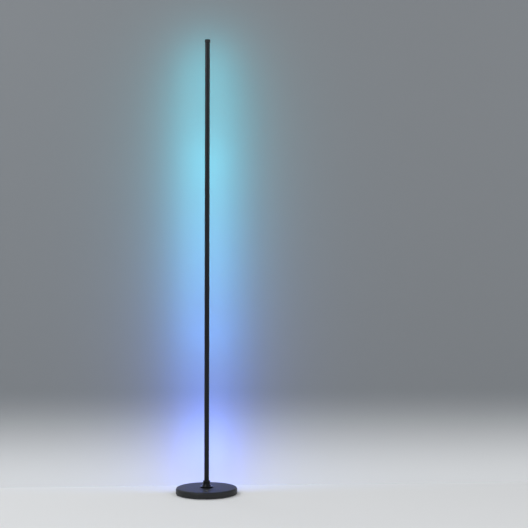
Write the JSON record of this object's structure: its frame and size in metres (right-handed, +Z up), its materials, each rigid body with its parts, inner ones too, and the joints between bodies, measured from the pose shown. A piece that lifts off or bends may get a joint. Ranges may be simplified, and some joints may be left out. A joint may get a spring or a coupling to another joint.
{
  "type": "corner floor lamp",
  "caption": "Slim round floor lamp whose pole throws coloured light backwards into a room's corner; the pole turns in a low round weighted foot with a push button.",
  "frame": {"origin": "on the floor, under the pole's axis and the middle of the round foot", "axes": "+Z up along the pole; +Y to the back, where the diffuser is and the corner of the room would be; -Y to the front, where the push button is"},
  "size_m": [0.19, 0.19, 1.42],
  "materials": {
    "anodised_aluminium": "matte black anodised extrusion",
    "anodised_collar": "turned and black anodised",
    "plain_aluminium": "as extruded or turned",
    "powder_coat": "fine black powder coat",
    "cast_iron": "as cast, oiled",
    "zinc_steel": "zinc plated",
    "plain_steel": "nickel plated",
    "black_steel": "black oxide",
    "brass": "turned",
    "nickel_pin": "nickel plated brass",
    "opal_silicone": "opal, lit from inside",
    "diode_package": "white package, clear resin",
    "strip_film": "white flexible circuit",
    "white_nylon": "moulded connector",
    "black_epoxy": "moulded epoxy",
    "black_abs": "fine texture, matte",
    "black_acetal": "turned or moulded acetal",
    "button_plastic": "satin polycarbonate",
    "inlet_plastic": "glass-filled nylon",
    "circuit_board": "glass epoxy, green solder resist",
    "tinned_steel": "tinned screening can",
    "lead_jacket": "flexible jacket",
    "rubber": "moulded pads"
  },
  "bodies": {
    "base": {"base_cover": "powder_coat", "cover_pillars": "plain_steel", "base_screws": "black_steel", "base_weight": "cast_iron", "bottom_plate": "zinc_steel", "foot_pads": "rubber", "pole_collar": "anodised_collar", "collar_screws": "black_steel", "collar_bush": "black_acetal", "control_board": "circuit_board", "board_standoffs": "plain_steel", "board_screws": "plain_steel", "radio_module": "tinned_steel", "power_parts": "black_epoxy", "lead_sockets": "white_nylon", "switch_housing": "black_epoxy", "power_inlet": "inlet_plastic", "inlet_pin": "nickel_pin", "inlet_strap": "zinc_steel", "strap_screws": "plain_steel", "inlet_lead": "lead_jacket", "board_lead": "lead_jacket"},
    "pole": {"pole_lower": "anodised_aluminium", "pole_middle": "anodised_aluminium", "pole_upper": "anodised_aluminium", "lower_joiner": "plain_aluminium", "upper_joiner": "plain_aluminium", "joiner_screws": "black_steel", "pole_foot_plug": "plain_aluminium", "plug_screws": "black_steel", "stop_pin": "plain_steel", "spring_washer": "plain_steel", "swivel_nut": "brass", "diffuser": "opal_silicone", "light_strip": "strip_film", "strip_connector": "white_nylon", "light_diodes": "diode_package", "driver_chips": "black_epoxy", "end_cap": "black_abs", "strip_lead": "lead_jacket"},
    "button": {"power_button": "button_plastic", "switch_plunger": "black_acetal"}
  },
  "joints": [
    {"name": "pole_swivel", "type": "hinge", "parent": "base", "child": "pole", "pos_m": [0, 0, 0.0215], "axis": [0, 0, 1], "range_deg": [-150, 150]},
    {"name": "button_press", "type": "slide", "parent": "base", "child": "button", "axis": [0, 0, -1], "range_m": [0, 0.0005], "stiffness_N_per_m": 1500, "springref_m": -0.0005}
  ]
}
